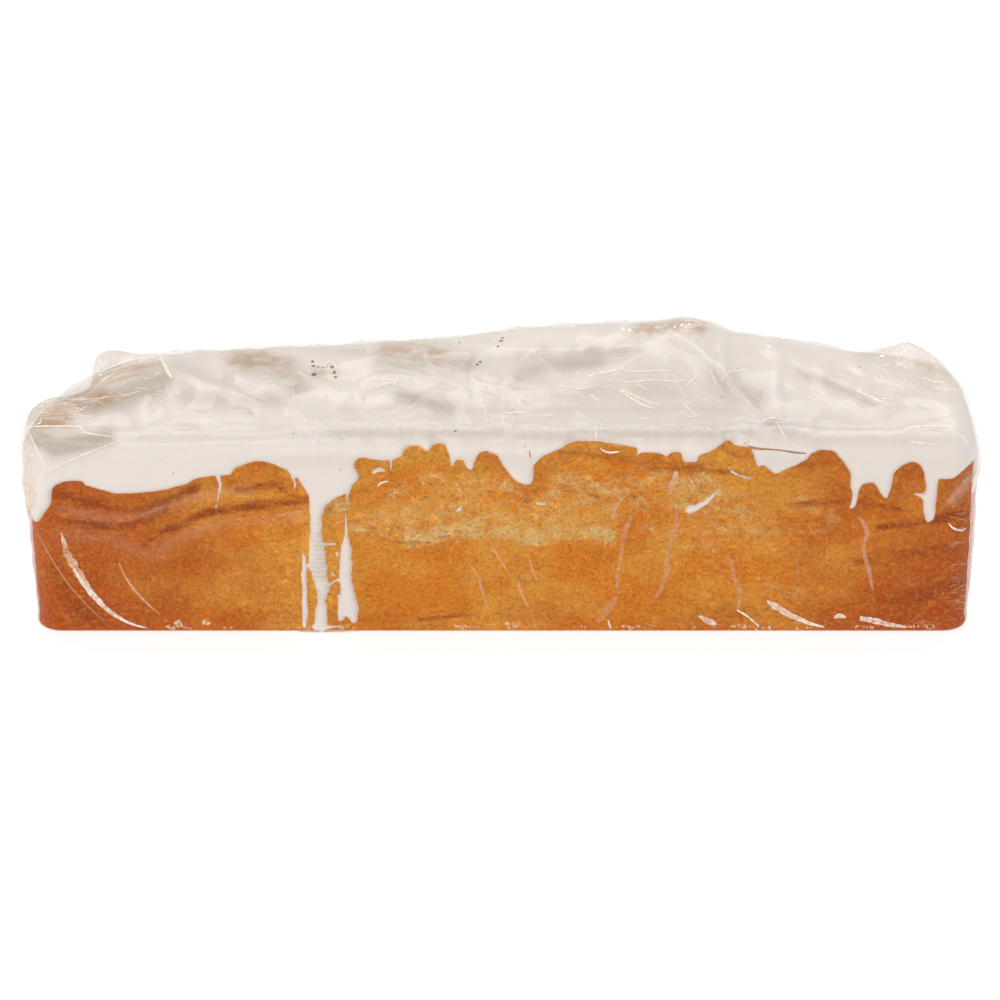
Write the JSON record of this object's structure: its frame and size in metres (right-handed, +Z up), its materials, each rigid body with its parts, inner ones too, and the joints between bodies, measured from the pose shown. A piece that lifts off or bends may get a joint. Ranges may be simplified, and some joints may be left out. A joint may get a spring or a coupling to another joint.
{
  "type": "lemon drizzle loaf cake in clear shrink film",
  "caption": "Long uncut lemon drizzle loaf: golden sponge with a domed crown, white poured icing that drips down its walls, wrapped in clear shrink film.",
  "frame": {"origin": "on the table under the middle of the loaf", "axes": "+X along the loaf, -Y the front with the long drips, +Z up"},
  "size_m": [0.3724, 0.1162, 0.1128],
  "materials": {
    "sponge": "baked golden-brown sponge, fine crumb with small pores, paler in bands and darker orange-brown towards the ends and the base",
    "icing": "set white sugar icing, slightly warm, soft sheen, a little translucent where thin",
    "film": "clear glossy shrink film with creases and puckered seals at both ends"
  },
  "bodies": {
    "root": {"sponge": "sponge", "icing": "icing", "film": "film"}
  },
  "joints": []
}
